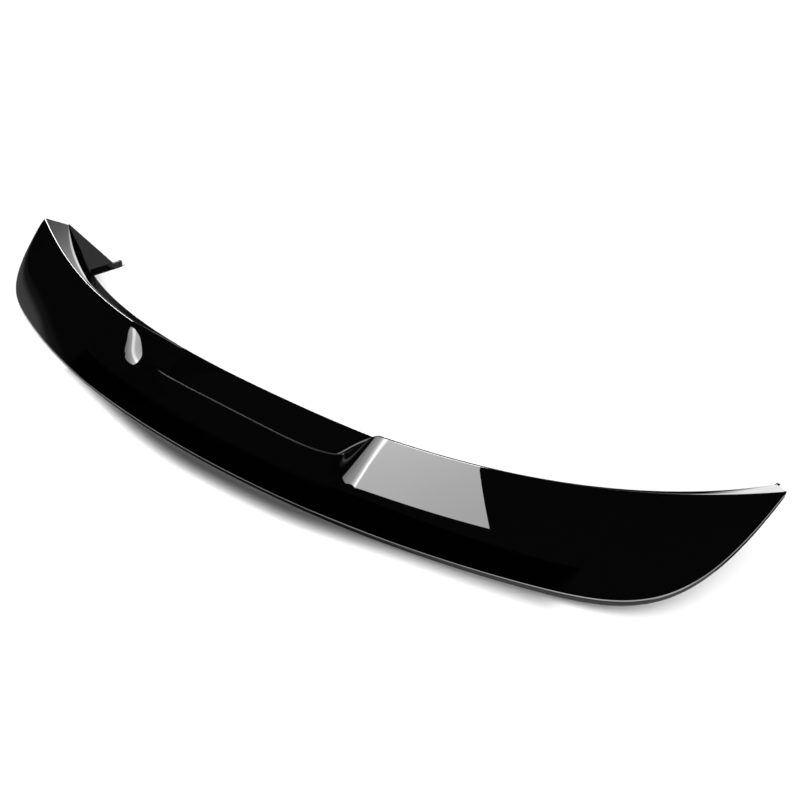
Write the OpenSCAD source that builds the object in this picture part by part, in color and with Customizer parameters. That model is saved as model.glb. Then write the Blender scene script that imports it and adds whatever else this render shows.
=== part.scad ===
// Roof spoiler for a hatchback: one moulded shell.
// X runs across the car, Y from the front edge back, and Z up from the bonding plane.
// The origin is under the middle of the shell's outer box, on the bonding plane.

/* [Overall] */
// Width over the two tips
span = 1250; // [1000:5:1500]
// Height of the tips above the bonding plane
tip_height = 114; // [80:1:150]
// How far the tips lie behind the middle of the front edge
tip_sweep = 200; // [170:1:240]
// Thickness of the moulded wall
wall = 3; // [2:0.1:4]

/* [Front edge] */
// Radius of the front edge, seen from above
front_radius = 1875; // [1400:25:3000]
// Half length of the front edge that lies flat on the bonding plane
front_flat = 150; // [60:5:250]
// How far inside the tip the corner bend starts, along X
corner_run = 175; // [150:1:200]
// Rise of the front edge where the corner bend starts
corner_lift = 7.5; // [3:0.5:14]
// Reach of the corner bend along the front edge
corner_reach = 112; // [80:1:130]
// Reach of the corner bend along the side edge
side_reach = 120; // [90:1:150]
// Height of the upright band under the skin's edge
band_height = 4.5; // [3:0.1:7]
// Radius of the skin's edge in the middle
edge_round = 1.4; // [0.8:0.1:2.5]
// Radius of the skin's edge at the tips
tip_round = 4.5; // [2:0.1:6]
// Width of the bonding land behind the front edge
land_width = 10; // [7:0.5:16]

/* [Top skin] */
// Depth of the shoulders' crest, carried to the middle
crest_depth = 110; // [95:1:130]
// Height of the shoulders' crest, carried to the middle
crest_height = 40; // [30:1:55]
// Even rise of the crest out to the tips
crest_slope_rise = 17; // [5:1:30]
// Crown of the top skin, as a share of its depth
crown = 0.03; // [0:0.005:0.06]
// Rounding of the crest
crest_round = 1.6; // [1:0.1:3]

/* [Recess] */
// Depth of the crest in the middle of the recess
recess_depth = 84.2; // [70:0.1:95]
// How far the recess's crest has run back where its side slopes start
recess_sweep = 4.5; // [1:0.1:7]
// Height of the crest in the recess
recess_height = 12; // [11:0.5:26]
// Half width of the recess between its side slopes
recess_half = 159.5; // [140:0.5:190]
// Width of each side slope, along X, with its soft upper end
recess_side = 95.5; // [70:0.5:120]
// How far the side slopes move outwards towards the front edge
recess_lean = 22; // [0:1:40]

/* [Ledge] */
// Width of the ledge at the tips
ledge_tip = 39; // [25:1:48]
// Width of the ledge in the middle
ledge_least = 3.6; // [3:0.1:8]
// Length over which the ledge widens, from each tip inwards
ledge_run = 245; // [150:5:350]
// Fall of the ledge towards the back, in degrees
ledge_fall = 29; // [15:1:40]

/* [Back wall] */
// Depth of the back wall's foot in the middle
base_depth = 159; // [145:1:180]
// How far the back wall's foot sweeps back by the tips
base_sweep = 98; // [60:1:110]
// How far inside the tips the fins' feet stand
foot_inset = 43; // [25:1:60]
// Width of the bonding flange inside the back wall's foot
flange_width = 14; // [8:0.5:20]

/* [End fins] */
// Length of each fin's foot, from the back wall to its rear end
foot_length = 65; // [40:1:90]
// Height of each fin's foot
foot_height = 12; // [8:0.5:16]
// Thickness of each fin's foot
foot_thickness = 6; // [5:0.5:9]
// How far the foot runs on behind the fin
foot_overhang = 11; // [4:0.5:16]

/* [Hidden] */

half_span = span / 2;
corner_x = half_span - corner_run;
foot_x = half_span - foot_inset;
tip = [half_span, tip_sweep, tip_height];
shell_colour = [0.02, 0.02, 0.022];
crest_sweep_power = 2.3; // how late the crest turns back towards the tips
crest_rise_power = 4.4; // how late the crest climbs to the tips
recess_sweep_power = 6.2; // how late the recess's crest runs back
side_turn_powers = [10, 6.4]; // late start and soft end of the side slope, in depth
side_climb_powers = [2.8, 2.8]; // late start and soft end of the side slope, in height
base_sweep_power = 2.3; // how late the foot turns back
lift_power = 2.5; // how late the front edge lifts off its flat
round_power = 6; // how late the skin's edge grows rounder
widen_power = 1.8; // how late the ledge widens
tip_blunt = 2.4; // height and depth left at the tip, so that it isn't a knife point
tip_solid = 20; // length of the tip that is moulded solid
solid_power = 16; // how late the hollow stops short of the tip
bend_start = 0.5; // pace along the corner bend where it starts
side_heading = [0.24, 0.9, 0.7]; // direction of the side edge as it meets the tip
corner_climb = 0.07; // climb of the front edge as the corner bend starts
fin_top = 2.5; // width of the fin at its top corner
flange_least = 2; // least width of the flange's top, where the back wall is shallow
foot_round = 8; // radius of the foot's lower rear corner
crest_turn = 0.3; // how far the ledge leans towards the middle as it widens
normal_step = 0.4; // step along X for finding the skin's direction
station_gap = 8; // gap along X between two runs of stations

band_count = 3; // columns from the front edge over the edge's rounding
skin_count = 8; // parts of the top skin between edge and crest
wall_count = 5; // parts of the back wall between ledge and foot
fin_count = 4; // parts of the fin between wall and rear edge

// Columns of the sheet, counted from the front edge over the top to the flange
col_skin = band_count;
col_crest = col_skin + skin_count;
col_ledge = col_crest + 3;
col_wall = col_ledge + 2;
col_foot = col_wall + wall_count;
col_flange = col_foot + 1;

// Stations along half of the span, closer where the shape turns faster
slope_end = recess_half + recess_side + recess_lean;
stations = concat(
    steps(0, recess_half - station_gap, 8),
    steps(recess_half, slope_end, 16),
    steps(slope_end + station_gap, corner_x, 9),
    steps(corner_x + station_gap, half_span, 16)
);
last_station = len(stations) - 1;

function steps(a, b, n) = [for (i = [0:n - 1]) a + (b - a) * i / (n - 1)];
function clamp(t) = min(1, max(0, t));
function ease(a, b, t) = let (c = clamp((t - a) / (b - a))) c * c * (3 - 2 * c);
function unit(v) = v / norm(v);
function mix(a, b, t) = a + (b - a) * t;
function bezier2(a, b, c, t) = mix(mix(a, b, t), mix(b, c, t), t);
function bezier3(a, b, c, d, t) = mix(bezier2(a, b, c, t), bezier2(b, c, d, t), t);
function flip(p) = [-p.x, p.y, p.z];

// Lower outer edge of the skin: a flat arc, then the corner bend up to the tip
function front_rise(x) = corner_lift * clamp((x - front_flat) / (corner_x - front_flat)) ^ lift_power;
function front_arc(x) = [x, x * x / (2 * front_radius), front_rise(x)];
function corner_bend(t) = let (
    from = front_arc(corner_x),
    heading = unit([1, corner_x / front_radius, corner_climb]),
    to = tip - [0, tip_blunt, 2 * tip_blunt]
) bezier3(from, from + corner_reach * heading, to - side_reach * side_heading, to, t);
function front_edge(x) = x <= corner_x ? front_arc(x) :
    let (q = (x - corner_x) / corner_run) corner_bend(q * (bend_start + (1 - bend_start) * q));

// Crest: the shoulders' line, lowered and brought forward over the recess
function shoulder(x) = let (u = x / half_span) [
    x,
    crest_depth + (tip_sweep - crest_depth) * u ^ crest_sweep_power,
    crest_height + crest_slope_rise * u
        + (tip_height - crest_height - crest_slope_rise) * u ^ crest_rise_power
];
function recess_line(x) = recess_depth + recess_sweep * (x / recess_half) ^ recess_sweep_power;
function side_share(x, turn) = 1
    - (1 - ease(recess_half, recess_half + recess_side, x) ^ turn[0]) ^ turn[1];
function crest(x, lean = 0) = let (place = max(x - lean, 0)) [
    x,
    mix(recess_line(place), shoulder(x).y, side_share(place, side_turn_powers)),
    mix(recess_height, shoulder(x).z, side_share(place, side_climb_powers))
];

// Ledge behind the crest, and the foot of the back wall
function ledge_width(x) = ledge_least
    + (ledge_tip - ledge_least) * clamp((x - half_span + ledge_run) / ledge_run) ^ widen_power;
function ledge_heading(x) = [
    -crest_turn * ledge_width(x) / ledge_tip, cos(ledge_fall), -sin(ledge_fall)
];
function ledge_rear(x) = crest(x) + ledge_width(x) * ledge_heading(x);
function wall_foot(x) = let (fx = x * foot_x / half_span) [
    fx, base_depth + base_sweep * (fx / half_span) ^ base_sweep_power, 0
];

// Inner face of the back wall, down to the top of the flange inside its foot
function wall_top(x) = ledge_rear(x) + crest_round * unit(wall_foot(x) - ledge_rear(x));
function wall_point(x, t) = mix(wall_top(x), wall_foot(x), t);
function wall_facing(x) = unit(cross(
    wall_point(min(x + normal_step, half_span), 0.5) - wall_point(max(x - normal_step, 0), 0.5),
    wall_foot(x) - wall_top(x)
));
function wall_top_inner(x) = wall_top(x) - wall * wall_facing(x);
function flange_corner(x) = let (
    from = wall_top_inner(x),
    down = unit(wall_foot(x) - wall_top(x))
) from + down * (from.z - wall) / -down.z;
function flange_edge_y(x) = min(wall_foot(x).y - flange_width, flange_corner(x).y - flange_least);

// Edge band and its rounding
function edge_radius(x) = let (grown = mix(edge_round, tip_round, (x / half_span) ^ round_power))
    min(grown, norm(crest(x) - front_edge(x)) / 4);
function band(x) = min(band_height, norm(crest(x) - front_edge(x)) / 3);
function band_top(x) = front_edge(x) + [0, 0, band(x)];
function skin_heading(x, lean) = unit(crest(x, lean) - band_top(x));
function skin_start(x) = band_top(x) + edge_radius(x) * skin_heading(x, recess_lean);
function skin_end(x, lean = 0) = crest(x, lean)
    - min(crest_round, edge_radius(x)) * skin_heading(x, lean);
function on_skin(x, v) = let (
    a = skin_start(x),
    b = skin_end(x, recess_lean * (1 - v)),
    up = unit([0, -(b - a).z, (b - a).y])
) mix(a, b, v) + 4 * v * (1 - v) * crown * norm(b - a) * up;

// Outer point of the sheet at one place along X, in one column
function outer(x, c) =
    c == 0 ? front_edge(x) :
    c < col_skin ? bezier2(
        band_top(x) - [0, 0, min(edge_radius(x), band(x) / 2)], band_top(x), skin_start(x),
        (c - 1) / (col_skin - 1)) :
    c <= col_crest ? on_skin(x, (c - col_skin) / skin_count) :
    c < col_ledge ? bezier2(
        skin_end(x), crest(x), crest(x) + crest_round * ledge_heading(x),
        (c - col_crest) / (col_ledge - 1 - col_crest)) :
    c <= col_wall ? let (
        rear = ledge_rear(x),
        down = unit(wall_foot(x) - rear)
    ) bezier2(
        rear - crest_round * ledge_heading(x), rear, rear + crest_round * down,
        (c - col_ledge) / (col_wall - col_ledge)) :
    c <= col_foot ? mix(outer(x, col_wall), wall_foot(x), (c - col_wall) / wall_count) :
    [wall_foot(x).x, flange_edge_y(x), 0];

// Direction out of the skin, from its neighbours in both ways
function facing(x, c, low, high) = let (
    along = outer(min(x + normal_step, half_span), c) - outer(max(x - normal_step, 0), c),
    across = outer(x, min(c + 1, high)) - outer(x, max(c - 1, low))
) unit(cross(along, across));

// Inner point of the sheet: the wall's thickness below the outer one
function hollow_x(x, c) = x - (c < col_ledge ? tip_solid * (x / half_span) ^ solid_power : 0);
function inner_skin(x, v) = let (
    d = 0.02,
    along = on_skin(min(x + normal_step, half_span), v) - on_skin(max(x - normal_step, 0), v),
    across = on_skin(x, min(v + d, 1)) - on_skin(x, max(v - d, 0))
) on_skin(x, v) - wall * unit(cross(along, across));
function land_share(x) = clamp(land_width / norm(skin_end(x) - front_edge(x)));
function land_corner(x) = front_edge(x) + land_width * unit([
    (crest(x) - front_edge(x)).x, (crest(x) - front_edge(x)).y, 0
]);
function inner(x, c) = let (h = hollow_x(x, c))
    c == 0 ? land_corner(h) :
    c < col_skin ? mix(land_corner(h), inner_skin(h, land_share(h)), c / col_skin) :
    c <= col_crest ? inner_skin(h, mix(land_share(h), 1, (c - col_skin) / skin_count)) :
    c < col_wall ? outer(h, c) - wall * facing(h, c, col_crest, col_foot) :
    c <= col_foot ? mix(wall_top_inner(x), flange_corner(x), (c - col_wall) / wall_count) :
    outer(x, c) + [0, 0, wall];

// Fin rows carry the back wall's end on to the fin's rear edge
fin_rear_top = ledge_rear(half_span) + [0, fin_top, 0];
fin_rear_foot = wall_foot(half_span) + [0, foot_length - foot_overhang, 0];
function fin_outer(m, c) = mix(
    outer(half_span, c),
    mix(fin_rear_top, fin_rear_foot, clamp((c - col_wall) / wall_count)),
    m / fin_count
);
function fin_inner(m, c) = fin_outer(m, c) + [wall, 0, 0];
function corner_inner(c) = outer(half_span, c) + wall * [1, -1, c == col_foot ? 1 : 0];

// One row of the sheet: r runs over the stations and then over the fin
function row_outer(r) = [for (c = [0:col_flange])
    r <= last_station ? outer(stations[r], c) :
    fin_outer(r - last_station, min(max(c, col_wall), col_foot))
];
function row_inner(r) = [for (c = [0:col_flange])
    r == last_station && c >= col_wall && c <= col_foot ? corner_inner(c) :
    r <= last_station ? inner(stations[r], c) :
    fin_inner(r - last_station, min(max(c, col_wall), col_foot))
];
last_row = last_station + fin_count;
function both_sides(rows) = concat(
    [for (r = [last_row:-1:1]) [for (p = rows[r]) flip(p)]],
    rows
);

// A cell of the sheet is real wall unless it lies beside the fin
function is_wall(r, c) = let (k = abs(r + 0.5 - last_row))
    c >= 0 && c < col_flange && k < last_row
    && (k < last_station || (c >= col_wall && c < col_foot));

module sheet(outside, inside) {
    rows = len(outside);
    cols = len(outside[0]);
    layer = rows * cols;
    points = concat([for (row = outside) each row], [for (row = inside) each row]);
    function at(r, c, side) = side * layer + r * cols + c;
    function quad(a, b, c, d) = [[a, b, c], [a, c, d]];
    cells = [for (r = [0:rows - 2]) for (c = [0:cols - 2]) if (is_wall(r, c)) [r, c]];
    faces = [for (k = cells) let (r = k[0], c = k[1]) each concat(
        quad(at(r, c, 0), at(r, c + 1, 0), at(r + 1, c + 1, 0), at(r + 1, c, 0)),
        quad(at(r, c, 1), at(r + 1, c, 1), at(r + 1, c + 1, 1), at(r, c + 1, 1)),
        is_wall(r - 1, c) ? [] : quad(at(r, c, 0), at(r, c, 1), at(r, c + 1, 1), at(r, c + 1, 0)),
        is_wall(r + 1, c) ? [] : quad(
            at(r + 1, c, 0), at(r + 1, c + 1, 0), at(r + 1, c + 1, 1), at(r + 1, c, 1)),
        is_wall(r, c - 1) ? [] : quad(at(r, c, 0), at(r + 1, c, 0), at(r + 1, c, 1), at(r, c, 1)),
        is_wall(r, c + 1) ? [] : quad(
            at(r, c + 1, 0), at(r, c + 1, 1), at(r + 1, c + 1, 1), at(r + 1, c + 1, 0))
    )];
    polyhedron(points = points, faces = faces, convexity = 8);
}

// Foot of a fin: a flat strip whose lower rear corner is round
module fin_foot() {
    heel = wall_foot(half_span);
    lean = (fin_rear_top.x - fin_rear_foot.x) * foot_height / fin_rear_top.z;
    translate([heel.x - foot_thickness / 2 + wall / 2 + lean / 2, heel.y - wall / 2, 0])
        rotate([90, 0, 90])
            linear_extrude(foot_thickness)
                difference() {
                    square([foot_length, foot_height]);
                    translate([foot_length - foot_round, 0])
                        difference() {
                            square(foot_round);
                            translate([0, foot_round])
                                circle(foot_round, $fn = 48);
                        }
                }
}

module spoiler_shell() {
    color(shell_colour)
        translate([0, (wall / 2 - wall_foot(half_span).y - foot_length) / 2, 0])
            union() {
                sheet(
                    both_sides([for (r = [0:last_row]) row_outer(r)]),
                    both_sides([for (r = [0:last_row]) row_inner(r)])
                );
                for (side = [0, 1])
                    mirror([side, 0, 0])
                        fin_foot();
            }
}

spoiler_shell();
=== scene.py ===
import math
import bpy
import bmesh
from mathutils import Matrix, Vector


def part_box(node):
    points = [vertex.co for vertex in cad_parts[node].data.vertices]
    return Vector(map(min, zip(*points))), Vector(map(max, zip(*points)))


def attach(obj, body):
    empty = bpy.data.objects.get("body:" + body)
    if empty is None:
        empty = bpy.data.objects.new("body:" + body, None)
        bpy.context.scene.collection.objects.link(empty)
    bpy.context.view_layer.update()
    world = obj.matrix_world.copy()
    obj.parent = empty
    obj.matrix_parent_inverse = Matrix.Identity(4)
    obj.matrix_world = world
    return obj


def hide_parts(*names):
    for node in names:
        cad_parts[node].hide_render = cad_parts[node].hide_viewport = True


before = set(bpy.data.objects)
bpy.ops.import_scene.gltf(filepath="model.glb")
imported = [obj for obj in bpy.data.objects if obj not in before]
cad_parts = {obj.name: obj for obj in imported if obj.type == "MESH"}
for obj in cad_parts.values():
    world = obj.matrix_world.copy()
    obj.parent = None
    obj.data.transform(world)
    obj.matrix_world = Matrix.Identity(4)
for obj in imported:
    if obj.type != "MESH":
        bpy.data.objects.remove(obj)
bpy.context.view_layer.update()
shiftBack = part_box("spoiler_shell")[0][1]  # the front edge's middle, in the part's frame
scene = bpy.context.scene

# The shell's sizes, in metres. They are the part's own, with finer rows
shell = {
    "halfSpan": 0.625, "tipHeight": 0.114, "tipSweep": 0.2, "tipBlunt": 0.0024, "tipSolid": 0.02,
    "wall": 0.003, "landWidth": 0.01, "flangeWidth": 0.014, "flangeLeast": 0.002,
    "frontRadius": 1.875, "frontFlat": 0.15, "cornerRun": 0.175, "cornerLift": 0.0075,
    "cornerReach": 0.112, "cornerRise": 0.07, "sideReach": 0.12, "sideCourse": (0.24, 0.9, 0.7),
    "bandHeight": 0.0045, "edgeRound": 0.0014, "tipRound": 0.0045,
    "crestDepth": 0.11, "crestHeight": 0.04, "crestRise": 0.017, "crestRound": 0.0016,
    "crown": 0.03, "recessDepth": 0.0842, "recessSweep": 0.0045, "recessHeight": 0.012,
    "recessHalf": 0.1595, "recessSide": 0.0955, "recessLean": 0.022,
    "ledgeTip": 0.039, "ledgeLeast": 0.0036, "ledgeRun": 0.245, "ledgeFall": math.radians(29),
    "ledgeForward": 0.3, "baseDepth": 0.159, "baseSweep": 0.098, "finTop": 0.0025,
    "footInset": 0.043, "footLength": 0.065, "footHeight": 0.012, "footThickness": 0.006,
    "footOverhang": 0.011, "footRound": 0.008, "footTurns": 10,
    "rows": {"band": 4, "skin": 22, "crest": 5, "ledge": 3, "rear": 3, "wall": 12, "fin": 8},
    "stations": {"recess": 28, "slope": 44, "shoulder": 26, "corner": 34, "tip": 14},
    "slopeLead": 0.006, "slopeTail": 0.004, "tipRun": 0.03,
    "probe": 0.0004, "skinProbe": 0.02, "crease": math.radians(32), "weld": 1e-6,
}
# The powers that say how late each line leaves the straight
bend = {"lift": 2.5, "sweep": 2.3, "rise": 4.4, "recess": 6.2, "ledge": 1.8, "round": 6,
        "solid": 16, "slopeDepth": (10, 6.4), "slopeHeight": (2.8, 2.8)}


def mixed(a, b, t):
    return a + (b - a) * t


def clamped(t):
    return min(1.0, max(0.0, t))


def eased(low, high, t):
    c = clamped((t - low) / (high - low))
    return c * c * (3 - 2 * c)


def curved(points, t):  # Bezier curve through its first and last point
    while len(points) > 1:
        points = [mixed(a, b, t) for a, b in zip(points, points[1:])]
    return points[0]


def frontArc(x):  # the bow of the front edge, before its corners
    s = shell
    lift = clamped((x - s["frontFlat"]) / (s["halfSpan"] - s["cornerRun"] - s["frontFlat"]))
    return Vector((x, x * x / (2 * s["frontRadius"]), s["cornerLift"] * lift ** bend["lift"]))


def frontEdge(x):
    s = shell
    corner = s["halfSpan"] - s["cornerRun"]
    if x <= corner:
        return frontArc(x)
    start = frontArc(corner)
    end = Vector((s["halfSpan"], s["tipSweep"] - s["tipBlunt"],
                  s["tipHeight"] - 2 * s["tipBlunt"]))
    heading = Vector((1, corner / s["frontRadius"], s["cornerRise"])).normalized()
    q = (x - corner) / s["cornerRun"]
    return curved([start, start + s["cornerReach"] * heading,
                   end - s["sideReach"] * Vector(s["sideCourse"]), end], q * (0.5 + 0.5 * q))


def crestLine(x, lean=0.0):  # lean moves the recess's sides outwards
    s = shell
    u = x / s["halfSpan"]
    shoulder = Vector((x, s["crestDepth"] + (s["tipSweep"] - s["crestDepth"]) * u ** bend["sweep"],
                       s["crestHeight"] + s["crestRise"] * u
                       + (s["tipHeight"] - s["crestHeight"] - s["crestRise"]) * u ** bend["rise"]))
    place = max(x - lean, 0.0)
    recessY = s["recessDepth"] + s["recessSweep"] * (place / s["recessHalf"]) ** bend["recess"]
    share = eased(s["recessHalf"], s["recessHalf"] + s["recessSide"], place)
    shareY, shareZ = (1 - (1 - share ** late) ** early
                      for late, early in (bend["slopeDepth"], bend["slopeHeight"]))
    return Vector((x, mixed(recessY, shoulder.y, shareY),
                   mixed(s["recessHeight"], shoulder.z, shareZ)))


def ledgeStep(x):  # from the crest to the rear edge
    s = shell
    share = clamped((x - s["halfSpan"] + s["ledgeRun"]) / s["ledgeRun"])
    width = s["ledgeLeast"] + (s["ledgeTip"] - s["ledgeLeast"]) * share ** bend["ledge"]
    return width * Vector((-s["ledgeForward"] * width / s["ledgeTip"],
                           math.cos(s["ledgeFall"]), -math.sin(s["ledgeFall"])))


def wallFoot(x):
    s = shell
    fx = x * (s["halfSpan"] - s["footInset"]) / s["halfSpan"]
    return Vector((fx, s["baseDepth"] + s["baseSweep"] * (fx / s["halfSpan"]) ** bend["sweep"], 0))


def edgeBand(x):  # the upright band along the front edge: its height and its rounding
    s = shell
    depth = (crestLine(x) - frontEdge(x)).length
    share = (x / s["halfSpan"]) ** bend["round"]
    return (min(s["bandHeight"], depth / 3),
            min(mixed(s["edgeRound"], s["tipRound"], share), depth / 4))


def onSkin(x, v):  # the top skin between the edge band and the crest
    s = shell
    crest = crestLine(x, s["recessLean"] * (1 - v))
    band, radius = edgeBand(x)
    top = frontEdge(x) + Vector((0, 0, band))
    start = top + radius * (crestLine(x, s["recessLean"]) - top).normalized()
    end = crest - min(s["crestRound"], radius) * (crest - top).normalized()
    along = end - start
    up = Vector((0, -along.z, along.y)).normalized()
    return start + along * v + 4 * v * (1 - v) * s["crown"] * along.length * up


def outerLine(x):
    s, rows = shell, shell["rows"]
    front, crest, ledge = frontEdge(x), crestLine(x), ledgeStep(x)
    band, radius = edgeBand(x)
    top = front + Vector((0, 0, band))
    turn = top - Vector((0, 0, min(radius, band / 2)))
    rear, foot = crest + ledge, wallFoot(x)
    back = ledge.normalized() * s["crestRound"]
    down = (foot - rear).normalized() * s["crestRound"]
    runs = [("band", lambda t: curved([turn, top, onSkin(x, 0)], t)),
            ("skin", lambda t: onSkin(x, t)),
            ("crest", lambda t: curved([onSkin(x, 1), crest, crest + back], t)),
            ("ledge", lambda t: mixed(crest + back, rear - back, t)),
            ("rear", lambda t: curved([rear - back, rear, rear + down], t)),
            ("wall", lambda t: mixed(rear + down, foot, t))]
    line = [place(i / rows[name]) for name, place in runs for i in range(rows[name])]
    return [front] + line + [foot, Vector((foot.x, flangeEdge(x), 0))]


def wallInside(x):  # the wall's inner face: its top, and where it meets the flange
    s = shell

    def across(px):
        rear, foot = crestLine(px) + ledgeStep(px), wallFoot(px)
        return rear + s["crestRound"] * (foot - rear).normalized(), foot

    high, low = across(min(x + s["probe"], s["halfSpan"])), across(max(x - s["probe"], 0))
    top, foot = across(x)
    out = ((high[0] + high[1]) / 2 - (low[0] + low[1]) / 2).cross(foot - top).normalized()
    inside, down = top - s["wall"] * out, (foot - top).normalized()
    return inside, inside + down * (inside.z - s["wall"]) / -down.z


def flangeEdge(x):
    s = shell
    return min(wallFoot(x).y - s["flangeWidth"], wallInside(x)[1].y - s["flangeLeast"])


def facing(x, place):  # direction out of a surface that is given by place(x, shift)
    s = shell
    along = place(min(x + s["probe"], s["halfSpan"]), 0) - place(max(x - s["probe"], 0), 0)
    across = place(x, 1) - place(x, -1)
    return along.cross(across).normalized()


def innerLine(x):
    s, rows = shell, shell["rows"]
    hollowX = x - s["tipSolid"] * (x / s["halfSpan"]) ** bend["solid"]
    front, crest = frontEdge(hollowX), crestLine(hollowX)
    flat = Vector((crest.x - front.x, crest.y - front.y, 0)).normalized()
    land = front + s["landWidth"] * flat
    share = clamped(s["landWidth"] / (crest - front).length)

    def under(v):
        out = facing(hollowX, lambda px, k: onSkin(px, clamped(v + s["skinProbe"] * k)))
        return onSkin(hollowX, v) - s["wall"] * out

    wallTop, corner = wallInside(x)
    landRows, turnRows = 1 + rows["band"], rows["crest"] + rows["ledge"] + rows["rear"]
    line = [mixed(land, under(share), i / landRows) for i in range(landRows)]
    line += [under(mixed(share, 1, i / rows["skin"])) for i in range(rows["skin"])]
    line += [mixed(under(1), wallTop, i / turnRows) for i in range(turnRows)]
    line += [mixed(wallTop, corner, i / rows["wall"]) for i in range(rows["wall"] + 1)]
    return line + [Vector((wallFoot(x).x, flangeEdge(x), s["wall"]))]


def stationList():
    s = shell
    stops = [0, s["recessHalf"] - s["slopeLead"],
             s["recessHalf"] + s["recessSide"] + s["recessLean"] + s["slopeTail"],
             s["halfSpan"] - s["cornerRun"], s["halfSpan"] - s["tipRun"], s["halfSpan"]]
    places = [mixed(a, b, i / count)
              for a, b, count in zip(stops, stops[1:], s["stations"].values())
              for i in range(count)]
    return places + [s["halfSpan"]]


def shellMesh():
    s, rows = shell, shell["rows"]
    places = stationList()
    sections = [(outerLine(x), innerLine(x)) for x in places]
    columns, last = len(sections[0][0]), len(places) - 1
    around = 2 * columns - 1
    bm = bmesh.new()
    # A flat sheet goes round the section once: over the outside and back along the inside
    bmesh.ops.create_grid(bm, x_segments=last, y_segments=around, size=1)
    grid = {}
    for vert in bm.verts:
        i, j = round((vert.co.x + 1) / 2 * last), round((vert.co.y + 1) / 2 * around)
        outer, inner = sections[i]
        vert.co = outer[j] if j < columns else inner[around - j]
        grid[i, j] = vert
    # The underside stays bare plastic
    inside = {vert for (i, j), vert in grid.items() if j >= columns}
    for face in bm.faces:
        if inside.issuperset(face.verts):
            face.material_index = 1
    # Close the sheet into a tube, then its end
    for i in range(last):
        bm.faces.new((grid[i, around], grid[i + 1, around], grid[i + 1, 0], grid[i, 0]))
    wallFirst = columns - 2 - rows["wall"]
    endFaces = []
    for j in range(columns - 1):
        back = around - j
        face = bm.faces.new((grid[last, j], grid[last, back],
                             grid[last, back - 1], grid[last, j + 1]))
        if wallFirst <= j < columns - 2:
            endFaces.append(face)
    # The fin carries the wall's end on to the rear
    finTop = crestLine(s["halfSpan"]) + ledgeStep(s["halfSpan"]) + Vector((0, s["finTop"], 0))
    finFoot = wallFoot(s["halfSpan"]) + Vector((0, s["footLength"] - s["footOverhang"], 0))
    rim = {}
    for j in range(wallFirst, columns - 1):
        rim[grid[last, j]] = (j, 0)
        rim[grid[last, around - j]] = (j, 1)
    for step in range(1, rows["fin"] + 1):
        grown = bmesh.ops.extrude_face_region(bm, geom=endFaces)
        bmesh.ops.delete(bm, geom=endFaces, context="FACES_ONLY")
        endFaces = [g for g in grown["geom"] if isinstance(g, bmesh.types.BMFace)]
        nextRim = {}
        for vert in (g for g in grown["geom"] if isinstance(g, bmesh.types.BMVert)):
            for edge in vert.link_edges:
                if edge.other_vert(vert) in rim:
                    nextRim[vert] = rim[edge.other_vert(vert)]
        for vert, (j, side) in nextRim.items():
            end = mixed(finTop, finFoot, (j - wallFirst) / rows["wall"])
            vert.co = mixed(sections[last][0][j], end, step / rows["fin"])
            vert.co.x += side * s["wall"]
        rim = nextRim
    bmesh.ops.translate(bm, vec=(0, shiftBack, 0), verts=bm.verts)
    bmesh.ops.mirror(bm, geom=bm.verts[:] + bm.edges[:] + bm.faces[:], axis="X",
                     merge_dist=s["weld"])
    bmesh.ops.remove_doubles(bm, verts=bm.verts, dist=s["weld"])
    bmesh.ops.recalc_face_normals(bm, faces=bm.faces)
    return bm


def footMesh(side):
    s = shell
    heel = wallFoot(s["halfSpan"])
    lean = (crestLine(s["halfSpan"]) + ledgeStep(s["halfSpan"]) - heel).x
    lean *= s["footHeight"] / (s["tipHeight"] - s["ledgeTip"] * math.sin(s["ledgeFall"]))
    low = Vector((heel.x - s["footThickness"] / 2 + s["wall"] / 2 + lean / 2,
                  heel.y - s["wall"] / 2 + shiftBack, 0))
    size = Vector((s["footThickness"], s["footLength"], s["footHeight"]))
    bm = bmesh.new()
    bmesh.ops.create_cube(bm, size=1)
    bmesh.ops.scale(bm, vec=size, verts=bm.verts)
    bmesh.ops.translate(bm, vec=low + size / 2, verts=bm.verts)
    heelEdge = [e for e in bm.edges
                if all(v.co.y > low.y + size.y / 2 and v.co.z < size.z / 2 for v in e.verts)]
    bmesh.ops.bevel(bm, geom=heelEdge, offset=s["footRound"], segments=s["footTurns"],
                    profile=0.5, affect="EDGES", offset_type="OFFSET", material=-1)
    bmesh.ops.scale(bm, vec=(side, 1, 1), verts=bm.verts)
    bmesh.ops.recalc_face_normals(bm, faces=bm.faces)
    return bm


def newMaterial(name):
    mat = bpy.data.materials.new(name)
    mat.use_nodes = True
    return mat, mat.node_tree.nodes, mat.node_tree.links


def addNoise(nodes, links, place, scale, detail):
    noise = nodes.new("ShaderNodeTexNoise")
    noise.inputs["Scale"].default_value = scale
    noise.inputs["Detail"].default_value = detail
    links.new(place.outputs["Object"], noise.inputs["Vector"])
    return noise


def addBump(nodes, links, noise, strength, distance, socket):
    bump = nodes.new("ShaderNodeBump")
    bump.inputs["Strength"].default_value = strength
    bump.inputs["Distance"].default_value = distance
    links.new(noise.outputs["Fac"], bump.inputs["Height"])
    links.new(bump.outputs["Normal"], socket)


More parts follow.
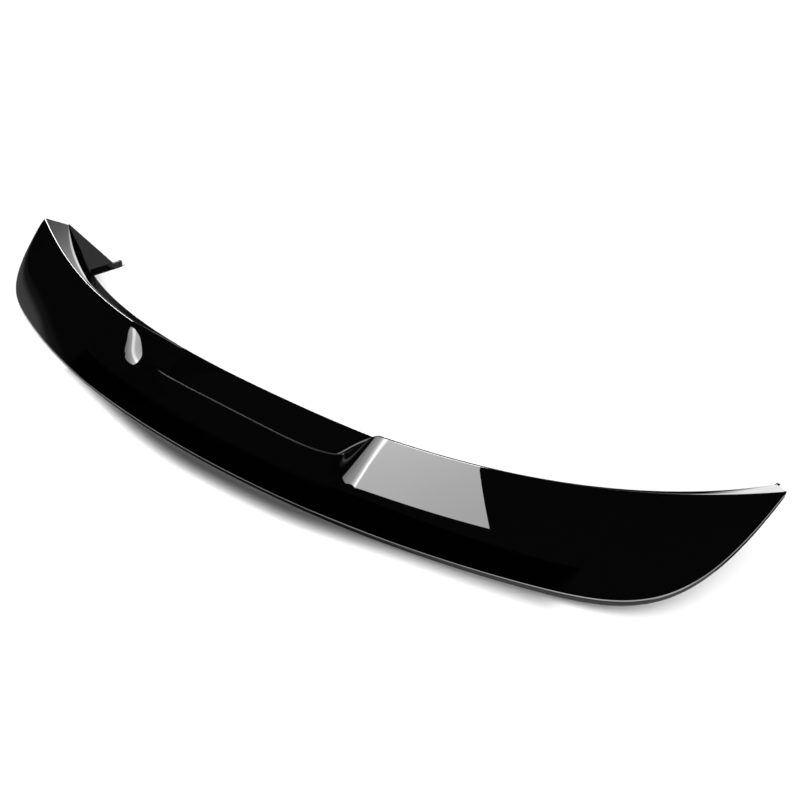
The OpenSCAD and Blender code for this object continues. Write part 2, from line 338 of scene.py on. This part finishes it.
def glossBlack():
    paint = {"base": (0.0012, 0.0012, 0.0013, 1), "coatRoughness": 0.012,
             "hazeScale": 9.0, "hazeDetail": 4.0, "hazeLow": 0.28, "hazeHigh": 0.4,
             "peelScale": 420.0, "peelDetail": 1.0, "peel": 0.001, "peelDepth": 0.0005}
    mat, nodes, links = newMaterial("glossBlackPaint")
    shader = nodes["Principled BSDF"]
    shader.inputs["Base Color"].default_value = paint["base"]
    shader.inputs["Specular IOR Level"].default_value = 0.0  # only the coat shines
    shader.inputs["Coat Weight"].default_value = 1.0
    shader.inputs["Coat Roughness"].default_value = paint["coatRoughness"]
    place = nodes.new("ShaderNodeTexCoord")
    haze = addNoise(nodes, links, place, paint["hazeScale"], paint["hazeDetail"])
    spread = nodes.new("ShaderNodeMapRange")
    spread.inputs["To Min"].default_value = paint["hazeLow"]
    spread.inputs["To Max"].default_value = paint["hazeHigh"]
    links.new(haze.outputs["Fac"], spread.inputs["Value"])
    links.new(spread.outputs["Result"], shader.inputs["Roughness"])
    peel = addNoise(nodes, links, place, paint["peelScale"], paint["peelDetail"])
    addBump(nodes, links, peel, paint["peel"], paint["peelDepth"], shader.inputs["Coat Normal"])
    return mat


def rawPlastic():
    plastic = {"dark": (0.012, 0.012, 0.013, 1), "light": (0.022, 0.022, 0.023, 1),
               "roughness": 0.45, "grainScale": 900.0, "grainDetail": 2.0,
               "grain": 0.15, "grainDepth": 0.0003}
    mat, nodes, links = newMaterial("rawBlackPlastic")
    shader = nodes["Principled BSDF"]
    place = nodes.new("ShaderNodeTexCoord")
    grain = addNoise(nodes, links, place, plastic["grainScale"], plastic["grainDetail"])
    tone = nodes.new("ShaderNodeValToRGB")
    tone.color_ramp.elements[0].color = plastic["dark"]
    tone.color_ramp.elements[1].color = plastic["light"]
    links.new(grain.outputs["Fac"], tone.inputs["Fac"])
    links.new(tone.outputs["Color"], shader.inputs["Base Color"])
    shader.inputs["Roughness"].default_value = plastic["roughness"]
    addBump(nodes, links, grain, plastic["grain"], plastic["grainDepth"], shader.inputs["Normal"])
    return mat


def addPiece(name, bm, materials):
    mesh = bpy.data.meshes.new(name)
    bm.to_mesh(mesh)
    bm.free()
    for mat in materials:
        mesh.materials.append(mat)
    piece = bpy.data.objects.new(name, mesh)
    scene.collection.objects.link(piece)
    return piece


print("shell")
bm = shellMesh()
for side in (1, -1):
    foot = footMesh(side)
    spare = bpy.data.meshes.new("footSpare")
    foot.to_mesh(spare)
    foot.free()
    bm.from_mesh(spare)
    bpy.data.meshes.remove(spare)
for edge in bm.edges:
    if len(edge.link_faces) == 2 and edge.calc_face_angle(0) > shell["crease"]:
        edge.smooth = False
for face in bm.faces:
    face.smooth = True
spoiler = addPiece("spoilerShell", bm, [glossBlack(), rawPlastic()])
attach(spoiler, "root")
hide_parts("spoiler_shell")

print("floor")
floorLook = {"halfSize": 30.0, "colour": (0.86, 0.86, 0.86, 1), "roughness": 0.9}
bm = bmesh.new()
bmesh.ops.create_grid(bm, x_segments=1, y_segments=1, size=floorLook["halfSize"])
floorPaint, nodes, links = newMaterial("paleFloor")
nodes["Principled BSDF"].inputs["Base Color"].default_value = floorLook["colour"]
nodes["Principled BSDF"].inputs["Roughness"].default_value = floorLook["roughness"]
nodes["Principled BSDF"].inputs["Specular IOR Level"].default_value = 0.0
floor = addPiece("paleFloor", bm, [floorPaint])

print("camera and light")
view = {"place": (0.6534, -0.3659 + shiftBack, 0.4902), "turn": 38.6, "fall": 31.69,
        "focal": 688.8, "picture": 800, "sensor": 36.0, "reach": 200}  # focal is in pixels
turn, fall = math.radians(view["turn"]), math.radians(view["fall"])
sight = Vector((-math.sin(turn) * math.cos(fall), math.cos(turn) * math.cos(fall),
                -math.sin(fall)))
camera = bpy.data.objects.new("camera", bpy.data.cameras.new("camera"))
camera.location = view["place"]
camera.rotation_euler = sight.to_track_quat("-Z", "Y").to_euler()
camera.data.sensor_width = view["sensor"]
camera.data.lens = view["focal"] / view["picture"] * view["sensor"]
camera.data.clip_end = view["reach"]
scene.collection.objects.link(camera)
scene.camera = camera

# The sun shines along the view, so the part's broad shadow falls behind it
softSun = {"energy": 4.5, "angle": math.radians(42), "drop": 0.75}
sun = bpy.data.lights.new("softSun", "SUN")
sun.energy, sun.angle = softSun["energy"], softSun["angle"]
lampObject = bpy.data.objects.new("softSun", sun)
sunCourse = sight - Vector((0, 0, softSun["drop"]))
lampObject.rotation_euler = sunCourse.to_track_quat("-Z", "Y").to_euler()
lampObject.visible_glossy = False
scene.collection.objects.link(lampObject)

frontStrip = {"place": (1.6, -2.6, 1.7), "target": (0.2, 0, 0), "size": (2.6, 0.25), "power": 60}
lamp = bpy.data.lights.new("frontStrip", "AREA")
lamp.shape = "RECTANGLE"
lamp.size, lamp.size_y = frontStrip["size"]
lamp.energy = frontStrip["power"]
strip = bpy.data.objects.new("frontStrip", lamp)
strip.location = frontStrip["place"]
stripCourse = Vector(frontStrip["target"]) - Vector(frontStrip["place"])
strip.rotation_euler = stripCourse.to_track_quat("-Z", "Y").to_euler()
strip.visible_camera = strip.visible_diffuse = False
scene.collection.objects.link(strip)

print("flag over the front edge")
# Only shadow rays meet it. It deepens the contact shadow under the front edge
flag = {"left": -0.27, "right": 0.5, "over": 0.03, "height": 0.02, "columns": 48,
        "least": 0.01, "wide": 0.031, "narrow": 0.019, "widest": 0.08, "taper": (0.2, 0.38)}
bm = bmesh.new()
bmesh.ops.create_grid(bm, x_segments=flag["columns"], y_segments=1, size=1)
for vert in bm.verts:
    x = mixed(flag["left"], flag["right"], (vert.co.x + 1) / 2)
    edge = frontEdge(abs(x))
    reach = min(mixed(flag["least"], flag["wide"], eased(flag["left"], flag["widest"], x)),
                mixed(flag["wide"], flag["narrow"], eased(*flag["taper"], x)))
    vert.co = (x, edge.y + shiftBack + mixed(-reach, flag["over"], (vert.co.y + 1) / 2),
               edge.z + flag["height"])
shade = addPiece("edgeFlag", bm, [floorPaint])
shade.visible_camera = shade.visible_diffuse = False
shade.visible_glossy = shade.visible_transmission = False


def level(x0, x1, y0, y1, z):
    return [(x0, y0, z), (x1, y0, z), (x1, y1, z), (x0, y1, z)]


def acrossX(x, y0, y1, z0, z1):
    return [(x, y0, z0), (x, y1, z0), (x, y1, z1), (x, y0, z1)]


def acrossY(y, x0, x1, z0, z1):
    return [(x0, y, z0), (x1, y, z0), (x1, y, z1), (x0, y, z1)]


def glowCard(name, corners, course, stops, strength, rows=1):
    # A card that only the paint's gloss sees. Its glow runs over the stops along a course
    bm = bmesh.new()
    bmesh.ops.create_grid(bm, x_segments=rows, y_segments=rows, size=1)
    a, b, c, d = (Vector(p) for p in corners)
    for vert in bm.verts:
        u, v = (vert.co.x + 1) / 2, (vert.co.y + 1) / 2
        vert.co = mixed(mixed(a, b, u), mixed(d, c, u), v)
    mat, nodes, links = newMaterial(name)
    nodes.clear()
    first, last = stops[0][0], stops[-1][0]
    out = nodes.new("ShaderNodeOutputMaterial")
    glow = nodes.new("ShaderNodeEmission")
    glow.inputs["Strength"].default_value = strength
    place = nodes.new("ShaderNodeTexCoord")
    split = nodes.new("ShaderNodeVectorMath")
    split.operation = "DOT_PRODUCT"
    split.inputs[1].default_value = course
    span = nodes.new("ShaderNodeMapRange")
    span.inputs["From Min"].default_value = first
    span.inputs["From Max"].default_value = last
    ramp = nodes.new("ShaderNodeValToRGB")
    ramp.color_ramp.interpolation = "EASE"
    while len(ramp.color_ramp.elements) < len(stops):
        ramp.color_ramp.elements.new(0.5)
    for element, (at, tone) in zip(ramp.color_ramp.elements, stops):
        element.position = (at - first) / (last - first)
        element.color = (tone, tone, tone, 1)
    links.new(place.outputs["Object"], split.inputs[0])
    links.new(split.outputs["Value"], span.inputs["Value"])
    links.new(span.outputs["Result"], ramp.inputs["Fac"])
    links.new(ramp.outputs["Color"], glow.inputs["Color"])
    links.new(glow.outputs["Emission"], out.inputs["Surface"])
    card = addPiece(name, bm, [mat])
    card.visible_camera = card.visible_diffuse = card.visible_shadow = False
    card.visible_transmission = False


print("cards that only the gloss sees")
alongX, alongY, alongZ = (1, 0, 0), (0, 1, 0), (0, 0, 1)
panelGlow, stripGlow = 22.0, 30.0
sideStops = [(0.055, 0.08), (0.11, 0.22), (0.155, 0.5), (0.168, 1.0), (0.182, 1.0), (0.195, 0.45)]
cards = [
    # The dark studio: ceiling, far side and the floor behind
    {"name": "darkCeiling", "corners": level(-7, 7, -7, 7, 1.3), "course": alongY,
     "stops": [(-7, 0.0), (0, 0.004), (7, 0.02)], "strength": 1.0},
    {"name": "darkSide", "corners": acrossX(-3, -7, 7, -0.5, 1.4), "course": (0, -0.5, -1),
     "stops": [(-1.1, 0.003), (-0.9, 0.05), (-0.7, 0.35), (-0.4, 0.5)], "strength": 1.0},
    {"name": "darkBehind", "corners": level(-3, 3, 0.0, 5, 0.001), "course": alongX,
     "stops": [(-3, 0.1), (-0.55, 0.04), (-0.35, 0.006), (0.3, 0.01), (3, 0.05)],
     "strength": 1.0},
    # The right shoulder's bright patch, and the soft slope on its left
    {"name": "rightPanel", "rows": 8, "course": alongX, "strength": panelGlow,
     "corners": [(0.15, -0.119, 0.2), (0.352, -0.108, 0.2), (0.275, 0.03, 0.2),
                 (0.15, 0.052, 0.2)],
     "stops": [(0.15, 0.45), (0.36, 0.4)]},
    {"name": "rightSideLow", "rows": 8, "course": alongZ, "strength": panelGlow,
     "corners": [(0.15, -0.079, 0.066), (0.15, 0.014, 0.056), (0.15, 0.03, 0.1),
                 (0.15, -0.097, 0.1)],
     "stops": sideStops},
    {"name": "rightSideHigh", "rows": 8, "course": alongZ, "strength": panelGlow,
     "corners": [(0.15, -0.097, 0.1), (0.15, 0.03, 0.1), (0.15, 0.052, 0.2), (0.15, -0.12, 0.2)],
     "stops": sideStops},
    # The left shoulder's small patch, with a dark card that keeps it off the recess
    {"name": "leftPanel", "rows": 8, "course": (0.48, 0.88, 0), "strength": panelGlow,
     "corners": [(-0.2175, -0.0735, 0.07), (-0.208, -0.07, 0.07), (-0.197, -0.044, 0.07),
                 (-0.259, -0.041, 0.07)],
     "stops": [(-0.167, 0.18), (-0.157, 0.3), (-0.1535, 0.8), (-0.1515, 0.8), (-0.147, 0.45),
               (-0.137, 0.4)]},
    {"name": "darkFlag", "corners": acrossX(-0.192, -0.11, -0.045, 0.015, 0.085),
     "course": alongZ, "stops": [(0.0, 0.0), (0.11, 0.0)], "strength": 1.0},
    # The left end's ledge, and the thin lines on both crests
    {"name": "ledgeGlow", "rows": 4, "course": alongZ, "strength": 2.0,
     "corners": [(-0.75, 0.16, 0.02), (-0.59, 0.16, 0.02), (-0.62, 0.16, 0.24),
                 (-0.75, 0.16, 0.24)],
     "stops": [(0.02, 1.0), (0.24, 0.35)]},
    {"name": "leftStrip", "rows": 4, "course": alongX, "strength": stripGlow,
     "corners": [(-0.66, 0.045, 0.16), (-0.4, 0.005, 0.16), (-0.4, 0.035, 0.16),
                 (-0.66, 0.085, 0.16)],
     "stops": [(-0.66, 1.0), (-0.4, 1.0)]},
    {"name": "rightStrip", "rows": 4, "course": alongX, "strength": stripGlow,
     "corners": [(0.15, 0.014, 0.199), (0.285, 0.018, 0.199), (0.285, 0.06, 0.199),
                 (0.15, 0.06, 0.199)],
     "stops": [(0.15, 1.0), (0.285, 1.0)]},
    # The light lines on the front edge and the right end
    {"name": "frontWall", "corners": acrossY(-1.2, -2.5, 1.4, 0.5, 1.28), "course": alongZ,
     "stops": [(0.5, 0.8), (1.28, 1.0)], "strength": 10.0},
    {"name": "sideWall", "corners": acrossX(1.8, -2.2, 0.2, 0.2, 1.28), "course": alongZ,
     "stops": [(0.2, 1.0), (1.28, 1.0)], "strength": 9.0},
    # Dim glows on the fin, the foot, the right tip and the back wall
    {"name": "finGlow", "corners": acrossX(2.5, 1.0, 2.4, -0.3, 1.28), "course": alongZ,
     "stops": [(-0.3, 1.0), (1.28, 0.8)], "strength": 0.9},
    {"name": "footGlow", "corners": level(-0.582, -0.54, 0.134, 0.19, 0.0015), "course": alongY,
     "stops": [(0.134, 0.6), (0.19, 0.8)], "strength": 1.0},
    {"name": "tipGlow", "corners": level(0.4, 0.7, 0.25, 0.65, 0.0015), "course": alongY,
     "stops": [(0.25, 0.0), (0.36, 0.7), (0.65, 1.0)], "strength": 2.8},
    {"name": "backGlow", "rows": 4, "corners": acrossY(1.2, -1.95, 0.5, 0.02, 0.2),
     "course": alongZ, "stops": [(0.02, 1.0), (0.2, 0.6)], "strength": 1.3},
]
for card in cards:
    glowCard(**card)

print("world")
# The lens and the gloss see white, and all other rays a weak fill
studio = {"fill": 0.06, "white": 1.0, "colour": (1, 1, 1, 1)}
world = bpy.data.worlds.new("studio")
world.use_nodes = True
scene.world = world
nodes, links = world.node_tree.nodes, world.node_tree.links
plain = nodes["Background"]
white = nodes.new("ShaderNodeBackground")
for background, strength in ((plain, studio["fill"]), (white, studio["white"])):
    background.inputs["Color"].default_value = studio["colour"]
    background.inputs["Strength"].default_value = strength
path = nodes.new("ShaderNodeLightPath")
seen = nodes.new("ShaderNodeMath")
seen.operation = "ADD"
links.new(path.outputs["Is Camera Ray"], seen.inputs[0])
links.new(path.outputs["Is Glossy Ray"], seen.inputs[1])
alsoSeen = nodes.new("ShaderNodeMath")
alsoSeen.operation = "ADD"
alsoSeen.use_clamp = True
links.new(seen.outputs["Value"], alsoSeen.inputs[0])
links.new(path.outputs["Is Transmission Ray"], alsoSeen.inputs[1])
blend = nodes.new("ShaderNodeMixShader")
links.new(alsoSeen.outputs["Value"], blend.inputs["Fac"])
links.new(plain.outputs["Background"], blend.inputs[1])
links.new(white.outputs["Background"], blend.inputs[2])
links.new(blend.outputs["Shader"], nodes["World Output"].inputs["Surface"])

scene.view_settings.view_transform = "Standard"
